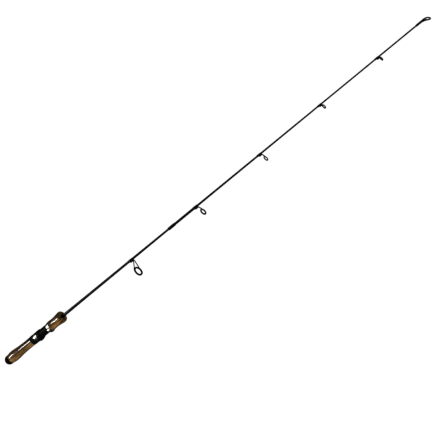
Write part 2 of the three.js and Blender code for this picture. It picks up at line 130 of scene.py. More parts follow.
FERRULE_MOUTH, TIP_BLANK_END = span("tip_blank")[:2]
MALE_END = span("butt_blank")[1]
SOCKET_END = 698.0
FERRULE_CLEARANCE = 0.08
BLANK_WALL = 0.7
BUTT_START = 8
BUTT_BLANK = [(BUTT_START, 3.5), (262, 3.5), (300, 3.2), (333, 3.1), (610, 2.28), (MALE_END, 2.0)]
STEP_START, STEP_END = 714.0, 722.0
STEP_FROM, STEP_TO = 2.7, 2.25
TIP_BLANK = [
    (FERRULE_MOUTH, 2.8), (STEP_START, STEP_FROM), (STEP_END, STEP_TO),
    (820, 2.08), (980, 1.75), (1120, 1.55), (TIP_BLANK_END, 1.45),
]

TUBE_START, TUBE_END, TUBE_RADIUS = 1344.0, 1365.0, 2.05
# The tip ring stands 0.05 behind the CAD's, so that its rounder edge stays inside the CAD's box.
TIP_RING = {"x": 1370.45, "y": -3.5, "outer": 12.6, "inner": 7.4}
TIP_RING_LEAN = math.radians(-110)

# ring: station of the ring; height: from the rod's axis to its centre; base: the end of the foot, where the
# stem or the wire legs rise; foot and wrap: lengths back from there; stem: thickness of a single stem.
GUIDES = [
    {
        "ring": 504.3, "height": 34.9, "outer": 22.4, "inner": 14.6,
        "base": 500.0, "foot": 12.0, "wrap": 16.0, "legs": 2,
    },
    {
        "ring": 731.2, "height": 21.5, "outer": 15.2, "inner": 8.8,
        "base": 722.5, "foot": 11.0, "wrap": 15.0, "stem": 2.1,
    },
    {
        "ring": 928.3, "height": 17.1, "outer": 11.3, "inner": 6.4,
        "base": 922.5, "foot": 9.0, "wrap": 12.5, "stem": 1.9,
    },
    {
        "ring": 1099.1, "height": 8.9, "outer": 9.9, "inner": 5.1,
        "base": 1097.0, "foot": 8.0, "wrap": 11.5, "stem": 1.3,
    },
    {
        "ring": 1253.1, "height": 7.2, "outer": 8.9, "inner": 4.4,
        "base": 1251.0, "foot": 7.5, "wrap": 10.5, "stem": 1.15,
    },
]
RING_LEAN = math.radians(6)
WIRE_RADIUS = 1.1
TIP_WIRE_RADIUS = 0.8
FRAME_SHARE = 0.36  # of a ring's section that is metal
THREAD_STEP = 0.42  # from one turn of wrapping thread to the next


# ---------------------------------------------------------------- materials


class Nodes:
    """A material with short calls for the procedural nodes the pieces share."""

    def __init__(self, name):
        self.material = bpy.data.materials.new(name)
        self.material.use_nodes = True
        self.tree = self.material.node_tree
        self.shader = self.tree.nodes["Principled BSDF"]
        self.place = self.add("ShaderNodeTexCoord").outputs["Object"]

    def add(self, kind, **values):
        node = self.tree.nodes.new(kind)
        for key, value in values.items():
            setattr(node, key, value)
        return node

    def link(self, output, target):
        self.tree.links.new(output, target)

    def stretched(self, scale):
        mapping = self.add("ShaderNodeMapping")
        mapping.inputs["Scale"].default_value = scale
        self.link(self.place, mapping.inputs["Vector"])
        return mapping.outputs["Vector"]

    def noise(self, vector, scale, detail=3.0, distortion=0.0):
        node = self.add("ShaderNodeTexNoise")
        node.inputs["Scale"].default_value = scale
        node.inputs["Detail"].default_value = detail
        node.inputs["Distortion"].default_value = distortion
        self.link(vector, node.inputs["Vector"])
        return node.outputs["Fac"]

    def bands(self, vector, scale, distortion, direction, detail_scale=1.0):
        node = self.add("ShaderNodeTexWave", wave_type="BANDS", wave_profile="SIN", bands_direction=direction)
        node.inputs["Scale"].default_value = scale
        node.inputs["Distortion"].default_value = distortion
        node.inputs["Detail"].default_value = 3.0
        node.inputs["Detail Scale"].default_value = detail_scale
        self.link(vector, node.inputs["Vector"])
        return node.outputs["Fac"]

    def ramp(self, value, stops):
        node = self.add("ShaderNodeValToRGB")
        first, last = node.color_ramp.elements
        first.position, first.color = stops[0][0], (*stops[0][1], 1)
        last.position, last.color = stops[-1][0], (*stops[-1][1], 1)
        for position, color in stops[1:-1]:
            node.color_ramp.elements.new(position).color = (*color, 1)
        self.link(value, node.inputs["Fac"])
        return node.outputs["Color"]

    def spread(self, value, low, high):
        node = self.add("ShaderNodeMapRange")
        node.inputs["To Min"].default_value = low
        node.inputs["To Max"].default_value = high
        self.link(value, node.inputs["Value"])
        return node.outputs["Result"]

    def multiplied(self, share, first, second):
        """The first colour, multiplied by the second one to the given share."""
        node = self.add("ShaderNodeMix", data_type="RGBA", blend_type="MULTIPLY")
        factor, first_color, second_color = node.inputs[0], node.inputs[6], node.inputs[7]
        factor.default_value = share
        self.link(first, first_color)
        self.link(second, second_color)
        return node.outputs[2]

    def bump(self, value, strength, distance):
        node = self.add("ShaderNodeBump")
        node.inputs["Strength"].default_value = strength
        node.inputs["Distance"].default_value = distance * MM
        self.link(value, node.inputs["Height"])
        self.link(node.outputs["Normal"], self.shader.inputs["Normal"])

    def set(self, **values):
        for key, value in values.items():
            self.shader.inputs[key.replace("_", " ")].default_value = value

    def color(self, output):
        self.link(output, self.shader.inputs["Base Color"])

    def roughness(self, output):
        self.link(output, self.shader.inputs["Roughness"])


def lacquered_wood():
    """Dark figured wood with its grain along the rod, under a thick clear lacquer."""
    m = Nodes("lacquered_wood")
    warp = m.noise(m.stretched((11, 125, 125)), 1.3, 4.0, 0.7)
    rings = m.bands(m.stretched((7, 95, 95)), 1.15, 7.0, "DIAGONAL", 1.6)
    fine = m.noise(m.stretched((40, 900, 900)), 1.0, 4.0)
    curl = m.noise(m.stretched((170, 40, 40)), 0.9, 2.0, 1.2)
    tone = m.ramp(warp, [
        (0.33, (0.04, 0.0225, 0.009)),
        (0.44, (0.12, 0.071, 0.026)),
        (0.55, (0.29, 0.178, 0.068)),
        (0.68, (0.5, 0.33, 0.14)),
    ])
    lines = m.ramp(rings, [(0.0, (0.42, 0.36, 0.3)), (0.35, (0.95, 0.92, 0.88)), (1.0, (1.0, 1.0, 1.0))])
    grain = m.ramp(fine, [(0.32, (0.55, 0.5, 0.45)), (0.55, (1.0, 1.0, 1.0))])
    figure = m.ramp(curl, [(0.35, (0.68, 0.64, 0.6)), (0.65, (1.18, 1.16, 1.1))])
    color = m.multiplied(0.75, tone, lines)
    color = m.multiplied(0.5, color, grain)
    m.color(m.multiplied(0.8, color, figure))
    m.roughness(m.spread(fine, 0.28, 0.4))
    m.set(Specular_IOR_Level=0.1, Coat_Weight=1.0, Coat_Roughness=0.03, Coat_IOR=1.5)
    return m.material


def moulded(name, color, rough, specular, grain=900.0, depth=0.02):
    """A moulded black plastic or rubber with a fine texture."""
    m = Nodes(name)
    fine = m.noise(m.place, grain, 3.0)
    broad = m.noise(m.place, 60.0, 2.0)
    m.color(m.ramp(broad, [(0.3, tuple(c * 0.75 for c in color)), (0.7, tuple(c * 1.3 for c in color))]))
    m.roughness(m.spread(fine, *rough))
    m.bump(fine, 0.4, depth)
    m.set(Specular_IOR_Level=specular)
    return m.material


def polished_metal():
    """Warm silver metal, brushed round the rod."""
    m = Nodes("polished_metal")
    brushed = m.noise(m.stretched((2600, 40, 40)), 1.0, 3.0)
    broad = m.noise(m.place, 90.0, 2.0)
    m.color(m.ramp(broad, [(0.3, (0.61, 0.585, 0.5)), (0.7, (0.71, 0.685, 0.59))]))
    m.roughness(m.spread(brushed, 0.3, 0.42))
    m.bump(brushed, 0.15, 0.01)
    m.set(Metallic=1.0)
    return m.material


def dark_metal(name, low, high, rough):
    """Blackened metal, a little paler where it is rubbed."""
    m = Nodes(name)
    broad = m.noise(m.place, 220.0, 4.0)
    m.color(m.ramp(broad, [(0.35, low), (0.65, high)]))
    m.roughness(m.spread(broad, *rough))
    m.set(Metallic=1.0)
    return m.material


def gloss_black(name, low, high, coat_roughness):
    """Black under clear varnish, with faint marks of the wrapped cloth below."""
    m = Nodes(name)
    tape = m.bands(m.stretched((180, 60, 60)), 1.0, 0.6, "X")
    m.color(m.ramp(tape, [(0.2, low), (0.8, high)]))
    m.roughness(m.spread(m.noise(m.place, 300.0, 3.0), 0.3, 0.42))
    m.set(Specular_IOR_Level=0.1, Coat_Weight=1.0, Coat_Roughness=coat_roughness, Coat_IOR=1.4)
    return m.material


def ceramic():
    """The hard glossy black of the rings' inserts."""
    m = Nodes("ring_ceramic")
    broad = m.noise(m.place, 500.0, 2.0)
    m.color(m.ramp(broad, [(0.3, (0.006, 0.006, 0.007)), (0.7, (0.014, 0.014, 0.016))]))
    m.roughness(m.spread(broad, 0.08, 0.16))
    return m.material


def packing():
    """Grained light brown packing, hidden in the reel seat."""
    m = Nodes("arbor")
    grain = m.noise(m.place, 700.0, 4.0)
    m.color(m.ramp(grain, [(0.3, (0.3, 0.2, 0.1)), (0.7, (0.5, 0.36, 0.2))]))
    m.roughness(m.spread(grain, 0.8, 0.95))
    m.bump(grain, 0.5, 0.1)
    return m.material


WOOD = lacquered_wood()
RUBBER = moulded("cap_rubber", (0.004, 0.004, 0.0042), (0.55, 0.7), 0.04)
PLASTIC = moulded("seat_plastic", (0.003, 0.0034, 0.0038), (0.42, 0.55), 0.11, 700.0, 0.01)
SILVER = polished_metal()
RIVET = dark_metal("dark_metal", (0.05, 0.045, 0.035), (0.12, 0.11, 0.09), (0.35, 0.5))
GUIDE_METAL = dark_metal("guide_metal", (0.02, 0.02, 0.022), (0.05, 0.05, 0.053), (0.2, 0.34))
BLANK = gloss_black("blank", (0.002, 0.002, 0.0022), (0.004, 0.004, 0.0045), 0.1)
THREAD = gloss_black("thread", (0.0015, 0.0015, 0.0018), (0.0035, 0.0035, 0.004), 0.06)
CERAMIC = ceramic()
PACKING = packing()


# ---------------------------------------------------------------- mesh helpers


def round_rod(x, radius, angle):
    """The point at a station, a radius and an angle round the rod."""
    return (x, -radius * math.cos(angle), radius * math.sin(angle))


def turns(count):
    """Evenly spaced angles round a full turn."""
    return [2 * math.pi * k / count for k in range(count)]


def woven(rings, closed):
    """Vertices and faces of a skin over rings of equally many points; a ring of one point is a pole."""
    verts = [point for ring in rings for point in ring]
    starts = [sum(len(ring) for ring in rings[:i]) for i in range(len(rings))]
    faces = []
    pairs = list(zip(range(len(rings)), range(1, len(rings))))
    if closed:
        pairs.append((len(rings) - 1, 0))
    for a, b in pairs:
        count = max(len(rings[a]), len(rings[b]))
        if count == 1:
            continue
        for k in range(count):
            n = (k + 1) % count
            corners = [starts[a] + k, starts[a] + n, starts[b] + n, starts[b] + k]
            if len(rings[a]) == 1:
                corners = [starts[a], *corners[2:]]
            elif len(rings[b]) == 1:
                corners = [*corners[:2], starts[b]]
            faces.append(corners)
    return verts, faces


def turned(profile, closed=False, around=AROUND):
    """A profile of (station, radius) points turned about the rod's axis."""
    rings = []
    for x, r in profile:
        if r < EPSILON:
            rings.append([(x, 0.0, 0.0)])
        else:
            rings.append([round_rod(x, r, a) for a in turns(around)])
    return woven(rings, closed)


def shaped(sections, around=AROUND):
    """A closed tube wall whose sections are functions from angle to (station, radius)."""
    return woven([[round_rod(*section(a), a) for a in turns(around)] for section in sections], True)


def rounded(corners, steps=4):
    """A profile from (station, radius, rounding) corners, each rounded off by its own amount."""
    points = []
    for i, (x, r, size) in enumerate(corners):
        here = Vector((x, r))
        if size == 0:
            points.append((x, r))
            continue
        before = Vector(corners[i - 1][:2])
        after = Vector(corners[(i + 1) % len(corners)][:2])
        start = here + (before - here).normalized() * size
        end = here + (after - here).normalized() * size
        for k in range(steps + 1):
            t = k / steps
            point = start * (1 - t) ** 2 + here * (2 * t * (1 - t)) + end * t**2
            points.append(tuple(point))
    return points


def smooth(points, steps):
    """A Catmull-Rom curve through points of any dimension, with the given steps between each two."""
    vectors = [Vector(p) for p in points]
    curve = []
    for i in range(len(vectors) - 1):
        p0, p1, p2 = vectors[max(i - 1, 0)], vectors[i], vectors[i + 1]
        p3 = vectors[min(i + 2, len(vectors) - 1)]
        for k in range(steps):
            t = k / steps
            in_slope, out_slope = (p2 - p0) / 2, (p3 - p1) / 2
            cubic = (p1 - p2) * 2 + in_slope + out_slope
            square = (p2 - p1) * 3 - in_slope * 2 - out_slope
            curve.append(tuple(cubic * t**3 + square * t**2 + in_slope * t + p1))
    curve.append(tuple(vectors[-1]))
    return curve


def swept(path, section):
    """A solid bar along a path. section gives the (flank, face) offsets at a share of the path's length."""
    side = Vector((0, 0, 1))
    points = [Vector(p) for p in path]
    rings = []
    for i, point in enumerate(points):
        along = (points[min(i + 1, len(points) - 1)] - points[max(i - 1, 0)]).normalized()
        face = along.cross(side).normalized()
        flank = face.cross(along)
        rings.append([tuple(point + flank * u + face * v) for u, v in section(i / (len(points) - 1))])
    return woven([[tuple(points[0])], *rings, [tuple(points[-1])]], False)


def ellipse(u, v, squareness=1.0, count=16):
    """Points of an ellipse of half-sizes u and v, squarer as squareness falls below 1."""
    points = []
    for a in turns(count):
        c, s = math.cos(a), math.sin(a)
        across = u * math.copysign(abs(c) ** squareness, c)
        up = v * math.copysign(abs(s) ** squareness, s)
        points.append((across, up))
    return points


def placed(part, turn, x, y):
    """A part turned about the Z direction and moved in the XY plane."""
    matrix = Matrix.Translation((x, y, 0)) @ Matrix.Rotation(turn, 4, "Z")
    return [tuple(matrix @ Vector(v)) for v in part[0]], part[1]


def mesh_of(name, part):
    """The mesh, in metres, of a part given as (vertices, faces) in millimetres."""
    verts, faces = part
    mesh = bpy.data.meshes.new(name)
    build = bmesh.new()
    made = [build.verts.new([c * MM for c in v]) for v in verts]
    for face in faces:
        build.faces.new([made[i] for i in face])
    bmesh.ops.recalc_face_normals(build, faces=build.faces)
    build.to_mesh(mesh)
    build.free()
    return mesh


def combined(name, first, others, operation="UNION"):
    """The mesh of a part with others joined to it or cut out of it."""
    base = bpy.data.objects.new(name, mesh_of(name, first))
    bpy.context.collection.objects.link(base)
    tools = []
    for i, part in enumerate(others):
        tool = bpy.data.objects.new(f"{name}_tool_{i}", mesh_of(f"{name}_tool_{i}", part))
        bpy.context.collection.objects.link(tool)
        tools.append(tool)
        step = base.modifiers.new(f"step_{i}", "BOOLEAN")
        step.operation, step.object, step.solver = operation, tool, "EXACT"
    graph = bpy.context.evaluated_depsgraph_get()
    mesh = bpy.data.meshes.new_from_object(base.evaluated_get(graph))
    mesh.name = name
    for spare in [base, *tools]:
        bpy.data.objects.remove(spare)
    return mesh


def piece(name, mesh, material, body, node, sharp=42):
    """A finished piece in place of a CAD node. mesh is a mesh, or a (vertices, faces) part."""
    if isinstance(mesh, tuple):
        mesh = mesh_of(name, mesh)
    mesh.materials.clear()
    mesh.materials.append(material)
    mesh.shade_smooth()
    mesh.set_sharp_from_angle(angle=math.radians(sharp))
    obj = bpy.data.objects.new(name, mesh)
    bpy.context.collection.objects.link(obj)
    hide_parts(node)
    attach(obj, body)


def radius_at(stations, x):
    """The radius at a station between (station, radius) points joined by straight lines."""
    for (x0, r0), (x1, r1) in zip(stations, stations[1:]):
        if x <= x1:
            return r0 + (r1 - r0) * (x - x0) / (x1 - x0)
    return stations[-1][1]


def ease(t):
    """A smooth step from 0 to 1."""
    t = min(max(t, 0.0), 1.0)
    return t * t * (3 - 2 * t)


def soft_max(a, b, blend):
    """The larger of two lengths, with the crease between them filled over a blend length."""
    h = max(blend - abs(a - b), 0.0) / blend
    return max(a, b) + h * h * blend / 4


def hull_radius(angle, support, samples=48):
    """How far out a convex outline lies at an angle, from its support function."""
    best = FAR
    widest = math.pi * 0.94
    for k in range(samples):
        lean = (k / (samples - 1) - 0.5) * widest
        best = min(best, support(angle + lean) / math.cos(lean))
    return best


# ---------------------------------------------------------------- handle


def make_butt_cap():
    """A round-ended cap with a small flat on its end and a socket for the grip's tenon."""
    start = math.asin(CAP_FLAT_RADIUS / CAP_RADIUS)
    steps = 24
    dome = [(0.0, 0.0), (0.0, CAP_FLAT_RADIUS)]
    for i in range(1, steps + 1):
        a = start + (math.pi / 2 - start) * i / steps
        dome.append((CAP_RADIUS * (math.cos(start) - math.cos(a)), CAP_RADIUS * math.sin(a)))
    socket = CAP_RADIUS - CAP_WALL
    lip = rounded([
        (CAP_END - 3, CAP_RADIUS, 0), (CAP_END, CAP_RADIUS, 0.35),
        (CAP_END, socket, 0), (CAP_FLOOR, socket, 0),
    ])
    piece("butt_cap_shell", turned([*dome, *lip, (CAP_FLOOR, 0)]), RUBBER, "handle", "butt_cap")


def make_rear_grip():
    """Turned wood, with a tenon that goes into the cap."""
    tenon = CAP_RADIUS - CAP_WALL - GAP
    tenon_start = CAP_FLOOR + GAP
    first, last = GRIP_SWELL[0][1], GRIP_SWELL[-1][1]
    swell = smooth(GRIP_SWELL, 12)
    outside = [(tenon_start, tenon), (GRIP_START, tenon), (GRIP_START, first - EDGE), *swell[1:-1]]
    outside += [(GRIP_END - EDGE, last), (GRIP_END, last - EDGE)]
    profile = [*outside, (GRIP_END, GRIP_BORE), (tenon_start, GRIP_BORE)]
    piece("rear_grip_wood", turned(profile, True), WOOD, "handle", "rear_grip")


def make_foregrip():
    """Turned wood that flares towards the front and ends in a rounded nose."""
    first = FORE_FLARE[0][1]
    flare, nose = smooth(FORE_FLARE, 10), smooth(FORE_NOSE, 5)
    outside = [(FORE_START, first - EDGE), (FORE_START + EDGE, first - 0.02), *flare[2:-1], *nose]
    profile = [*outside, (FORE_END, GRIP_BORE), (FORE_START, GRIP_BORE)]
    piece("foregrip_wood", turned(profile, True), WOOD, "handle", "foregrip")


def make_winding_check():
    """A small ring that closes the front of the foregrip round the blank."""
    bore = radius_at(BUTT_BLANK, CHECK_START) + 0.05
    profile = rounded([
        (CHECK_START, 5, 0.2), (CHECK_START + 2.4, 5, 0.5), (CHECK_START + 3, 4.7, 0.2),
        (CHECK_END, 4.08, 0.3), (CHECK_END, bore, 0), (CHECK_START, bore, 0),
    ])
    piece("winding_check_ring", turned(profile, True), PLASTIC, "handle", "winding_check")


# ---------------------------------------------------------------- reel seat


def pad_radius(angle, depth):
    """How far out a flat facing the reel side lies at an angle round the rod."""
    return depth / math.cos(angle) if math.cos(angle) > EPSILON else FAR


def make_seat_barrel():
    """A tube with a cut thread at its rear and a flat for the reel's foot between the hoods."""
    pad_start, pad_end = HOOD_END + GAP, FIXED_START - GAP
    pad_step = 0.05

    def outside(x):
        def at(angle):
            turn = (x / THREAD_PITCH + angle / (2 * math.pi)) % 1.0
            groove = ease((0.5 - abs(turn - 0.5)) * 4 - 0.4) * ease((THREAD_END - x) / 2)
            depth = PAD_DEPTH if pad_start <= x <= pad_end else SUNK_PAD_DEPTH
            return x, min(BARREL_RADIUS - THREAD_DEPTH * groove, pad_radius(angle, depth))
        return at

    step = THREAD_PITCH / 8
    count = int((THREAD_END - SEAT_START) / step)
    stations = [SEAT_START + step * k for k in range(count + 1)]
    stations += [pad_start - pad_step, pad_start, pad_end, pad_end + pad_step, SEAT_END]
    sections = [outside(x) for x in stations]
    sections += [lambda angle: (SEAT_END, BARREL_BORE), lambda angle: (SEAT_START, BARREL_BORE)]
    mesh = shaped(sections, 144)
    piece("seat_barrel_tube", mesh, PLASTIC, "handle", "seat_barrel", 30)


def make_locking_nut():
    """A ring with rounded flutes between two plain bevelled rims."""
    rim, bevel_size = 0.9, 0.35
    flute_depth, flute_runout = 0.4, 0.5

    def outside(x):
        edge = min(x - NUT_START, NUT_END - x)
        bevel = bevel_size * (1 - ease(edge / bevel_size))

        def at(angle):
            flute = 0.5 - 0.5 * math.cos(NUT_FLUTES * angle)
            depth = flute_depth * (1 - flute**0.6) * ease((edge - rim) / flute_runout)
            return x, NUT_RADIUS - bevel - depth
        return at

    offsets = [0, 0.1, 0.2, bevel_size, rim, rim + 0.17, rim + 0.33, rim + flute_runout]
    stations = [NUT_START + d for d in offsets] + [NUT_END - d for d in reversed(offsets)]
    bore = BARREL_RADIUS + RUNNING
    sections = [outside(x) for x in stations]
    sections += [lambda angle: (NUT_END, bore), lambda angle: (NUT_START, bore)]
    mesh = shaped(sections, NUT_FLUTES * 10)
    piece("locking_nut_ring", mesh, PLASTIC, "nut", "locking_nut", 50)


def arch_radius(angle, top, inset=0.0):
    """How far out the hoods' bulge lies: a tall rounded shape over the reel side, its flanks inset."""
    half, corner = ARCH_HALF_WIDTH - inset, ARCH_CORNER - inset

    def support(a):
        across = (half - corner) * abs(math.sin(a))
        up = (top - corner) * max(math.cos(a), 0.0)
        return across + up + corner
    if math.cos(angle) <= ARCH_COSINE:
        return 0.0
    return hull_radius(angle, support)


def hood_inside(angle, bore, top):
    """How far out the inside of a hood lies: its bore, and the foot's pocket where that has a top."""
    return max(bore, arch_radius(angle, top, ARCH_WALL)) if top else bore


def make_sliding_hood():
    """A sleeve under the band, a larger round mouth, and a bulge with a pocket for the reel's foot."""
    sleeve = BAND_RADIUS - BAND_THICKNESS - FITTED
    step = BAND_END + GAP
    bore = BARREL_RADIUS + RUNNING
    ramp_end = BULGE_START + BULGE_RAMP
    edge, blend = 0.25, 0.9

    def outside(x, shell, top, inset=0.0, slant=0.0):
        def at(angle):
            radius = shell - inset
            if top:
                radius = soft_max(radius, arch_radius(angle, top - inset, inset), blend)
            return x - slant * rise(radius), radius
        return at

    def inside(x, top, slant=0.0):
        def at(angle):
            radius = hood_inside(angle, bore, top)
            return x - slant * rise(radius), radius
        return at

    def rise(radius):
        """How far up the bulge a point is, from 0 on the round part to 1 on its top."""
        return min(max((radius - HOOD_RADIUS) / (ARCH_TOP - HOOD_RADIUS), 0.0), 1.0)

    def bulge_top(x):
        toe = sleeve + 0.2
        return toe + (ARCH_TOP - toe) * ease(0.12 + 0.88 * (x - BULGE_START) / BULGE_RAMP)

    sections = [outside(HOOD_START, sleeve, 0), outside(BULGE_START, sleeve, 0)]
    ramp_steps, lead = 8, 0.05
    for k in range(ramp_steps + 1):
        x = BULGE_START + lead + (BULGE_RAMP - lead) * k / ramp_steps
        sections.append(outside(x, sleeve, bulge_top(x), 0.1 if k == 0 else 0.0))
    sections.append(outside(ramp_end + 0.4, sleeve, ARCH_TOP))
    sections += [outside(step - 0.02, sleeve, ARCH_TOP), outside(step, HOOD_RADIUS - edge, ARCH_TOP)]
    sections.append(outside(step + edge, HOOD_RADIUS, ARCH_TOP))
    rim, rim_steps = 0.45, 5
    for k in range(rim_steps + 1):
        a = math.pi / 2 * k / rim_steps
        x = HOOD_END - rim * (1 - math.sin(a))
        sections.append(outside(x, HOOD_RADIUS, ARCH_TOP, rim * (1 - math.cos(a)), HOOD_MOUTH_SLANT))
    pocket_top = ARCH_TOP - ARCH_WALL
    start = REAR_POCKET_START
    sections.append(inside(HOOD_END, pocket_top, HOOD_MOUTH_SLANT))
    sections += [inside(start + 2.6, pocket_top), inside(start + 1.3, POCKET_MIDDLE_TOP)]
    sections += [inside(start, POCKET_END_TOP), inside(start - 0.1, 0), inside(HOOD_START, 0)]
    piece("sliding_hood_body", shaped(sections, 120), PLASTIC, "hood", "sliding_hood", 50)


def make_hood_band():
    """A rolled ring with a notch on the reel side, where the hood's bulge passes through it."""
    inner = BAND_RADIUS - BAND_THICKNESS
    roll = 0.3

    def notch(x, reach):
        return lambda angle: (x, reach * arch_radius(angle, ARCH_TOP + FITTED, -FITTED))

    ring = turned(rounded([
        (BAND_START, BAND_RADIUS, roll), (BAND_END, BAND_RADIUS, roll),
        (BAND_END, inner, 0), (BAND_START, inner, 0),
    ]), True)
    first, last = BULGE_START - FITTED, BAND_END + 1
    cutter = shaped([notch(first, 0.0), notch(first, 1.0), notch(last, 1.0), notch(last, 0.0)], 96)
    mesh = combined("hood_band_ring", ring, [cutter], "DIFFERENCE")
    piece("hood_band_ring", mesh, SILVER, "hood", "hood_band")


def make_fixed_hood():
    """A shell that grows from its rolled rear rim to its front end, with a bulge over the foot's pocket."""
    bore = BARREL_RADIUS + FITTED
    reach = FIXED_RIM_START - FIXED_START
    length = FIXED_END - FIXED_RIM_START
    rim_radius, mouth_radius = 11.1, 11.4
    fall_depth, fall_length = 1.3, 1.8
    blend = 2.4

    def shell(x):
        full = FIXED_HOOD_RADIUS - 0.05
        return radius_at([(FIXED_RIM_START, rim_radius), (FIXED_END - 1.5, full), (FIXED_END, full)], x)

    def mouth(radius, angle):
        """Station of the mouth: the bulge's flanks reach further back than the round part and its top."""
        flank = ease((arch_radius(angle, ARCH_TOP) - rim_radius + 0.3) / 1.2)
        top = min(max((radius - mouth_radius) / (ARCH_TOP - mouth_radius), 0.0), 1.0)
        return FIXED_RIM_START - reach * flank + FIXED_MOUTH_SLANT * top

    def wall(t, inset=0.0):
        def at(angle):
            bulge = arch_radius(angle, ARCH_TOP - inset, inset)
            start = mouth(max(rim_radius, bulge), angle)
            x = start + (FIXED_END - start) * t
            fall = fall_depth * ease((x - FIXED_END + fall_length) / fall_length)
            lowered = arch_radius(angle, ARCH_TOP - fall - inset, inset)
            return x, min(soft_max(shell(x) - inset, lowered, blend), ARCH_TOP)
        return at

    def inside(x, top):
        return lambda angle: (x, hood_inside(angle, bore, top))

    def mouth_inside(angle):
        outer = arch_radius(angle, ARCH_TOP)
        return mouth(max(rim_radius, outer), angle), hood_inside(angle, bore, pocket_top)

    sections = []
    rim, rim_steps = 0.35, 4
    for k in range(rim_steps + 1):
        a = math.pi / 2 * k / rim_steps
        sections.append(wall(rim * (1 - math.cos(a)) / length, rim * (1 - math.sin(a))))
    sections += [wall(t) for t in (0.1, 0.2, 0.35, 0.5, 0.65, 0.75, 0.82, 0.88, 0.92, 0.96, 1.0)]
    pocket_top = ARCH_TOP - ARCH_WALL
    end = FRONT_POCKET_END
    sections += [inside(FIXED_END, 0), inside(end + 0.1, 0), inside(end, POCKET_END_TOP)]
    sections += [inside(end - 1, POCKET_MIDDLE_TOP), inside(end - 2.2, pocket_top), mouth_inside]
    hole_radius = RIVET_RADIUS + 0.22
    hole = rivet_part([(BARREL_RADIUS - 0.5, hole_radius), (ARCH_TOP + 0.5, hole_radius)])
    mesh = combined("fixed_hood_shell", shaped(sections, 120), [hole], "DIFFERENCE")
    piece("fixed_hood_shell", mesh, SILVER, "handle", "fixed_hood", 50)


def rivet_part(profile):
    """A profile of (distance from the rod's axis, radius) turned about the rivet's own axis."""
    rings = [[(profile[0][0], 0.0, 0.0)]]
    rings += [[(d, r * math.cos(a), r * math.sin(a)) for a in turns(32)] for d, r in profile]
    rings.append([(profile[-1][0], 0.0, 0.0)])
    verts, faces = woven(rings, False)
    out = Vector(round_rod(0, 1, RIVET_ANGLE))
    turn = Vector((1, 0, 0)).rotation_difference(out).to_matrix()
    place = Vector((RIVET_STATION, 0, 0))
    return [tuple(turn @ Vector(v) + place) for v in verts], faces


def make_rivet():
    """A small domed head in its hole in the fixed hood."""
    top = FIXED_HOOD_RADIUS - 0.03
    dome = [(top - 0.35 * (1 - math.cos(a)), RIVET_RADIUS * math.sin(a)) for a in (1.57, 1.2, 0.85, 0.5, 0.2)]
    profile = [(BARREL_RADIUS + 0.3, RIVET_RADIUS), *dome]
    piece("fixed_hood_rivet_head", rivet_part(profile), RIVET, "handle", "fixed_hood_rivet")


# ---------------------------------------------------------------- blanks


def make_blanks():
    """The butt's tube, and the tip's rod with the ferrule's socket in its thick end."""
    outside = [(x, radius_at(BUTT_BLANK, x)) for x in range(BUTT_START, int(MALE_END), 22)]
    end = BUTT_BLANK[-1][1]
    outside += [(MALE_END - 0.4, end), (MALE_END, end - 0.3)]
    inside = [(MALE_END, end - BLANK_WALL), (BUTT_START, BUTT_BLANK[0][1] - BLANK_WALL)]
    piece("butt_blank_tube", turned([*outside, *inside], True, 48), BLANK, "handle", "butt_blank")

    socket = [(SOCKET_END, 0.0), (SOCKET_END, end + FERRULE_CLEARANCE), (MALE_END, end + FERRULE_CLEARANCE)]
    socket.append((FERRULE_MOUTH, radius_at(BUTT_BLANK, FERRULE_MOUTH) + FERRULE_CLEARANCE))
    mouth = TIP_BLANK[0][1]
    skin = [(FERRULE_MOUTH, mouth - 0.15), (FERRULE_MOUTH + 0.15, mouth), (STEP_START, STEP_FROM)]
    skin += [
        (STEP_START + (STEP_END - STEP_START) * t, STEP_FROM + (STEP_TO - STEP_FROM) * ease(t))
        for t in (0.2, 0.4, 0.6, 0.8, 1.0)
    ]
    skin += [(x, radius_at(TIP_BLANK, x)) for x in range(740, int(TUBE_START), 24)]
    profile = [*socket, *skin, (TIP_BLANK_END, 0.8), (TIP_BLANK_END, 0.0)]
    piece("tip_blank_rod", turned(profile, False, 48), BLANK, "tip_section", "tip_blank")


def ridged(x, start, end, ridge):
    """Height of the thread's turns at a station, sinking into the varnish at both ends."""
    body = ease((x - start) / 1.2) * ease((end - x) / 1.2)
    return ridge * abs(math.sin(math.pi * x / THREAD_STEP)) * body


def thread_stations(start, end):
    """Stations along a wrap, three to each turn of the thread."""
    count = int((end - start) / (THREAD_STEP / 3))
    return [start + (end - start) * k / count for k in range(count + 1)]


def make_ferrule_wrap():
    """Varnished thread round the mouth of the tip section."""
    start, end = span("ferrule_wrap")[:2]
    base = TIP_BLANK[0][1] + 0.02
    profile = []
    for x in thread_stations(start, end):
        shoulder = ease((x - start) / 1.4) * ease((end - x) / 1.4)
        profile.append((x, base + 0.06 + 0.5 * shoulder + ridged(x, start, end, 0.04)))
    profile += [(end, base), (start, base)]
    piece("ferrule_wrap_thread", turned(profile, True, 48), THREAD, "tip_section", "ferrule_wrap")


# ---------------------------------------------------------------- guides


def blank_at(x):
    """Radius of whichever blank is on the outside at a station."""
    return radius_at(BUTT_BLANK if x < FERRULE_MOUTH else TIP_BLANK, x)


def foot_width(spec):
    return 2.5 + spec["outer"] * 0.055


def foot_thickness(spec):
    return 0.8 + spec["outer"] * 0.02


def ring_sizes(outer_diameter, inner_diameter):
    """Radii and widths of a ring's metal frame and its insert."""
    outer, inner = outer_diameter / 2, inner_diameter / 2
    depth = outer - inner
    seat = outer - depth * FRAME_SHARE
    return {"outer": outer, "seat": seat, "inner": inner, "frame": depth * 0.8, "insert": depth * 0.95}


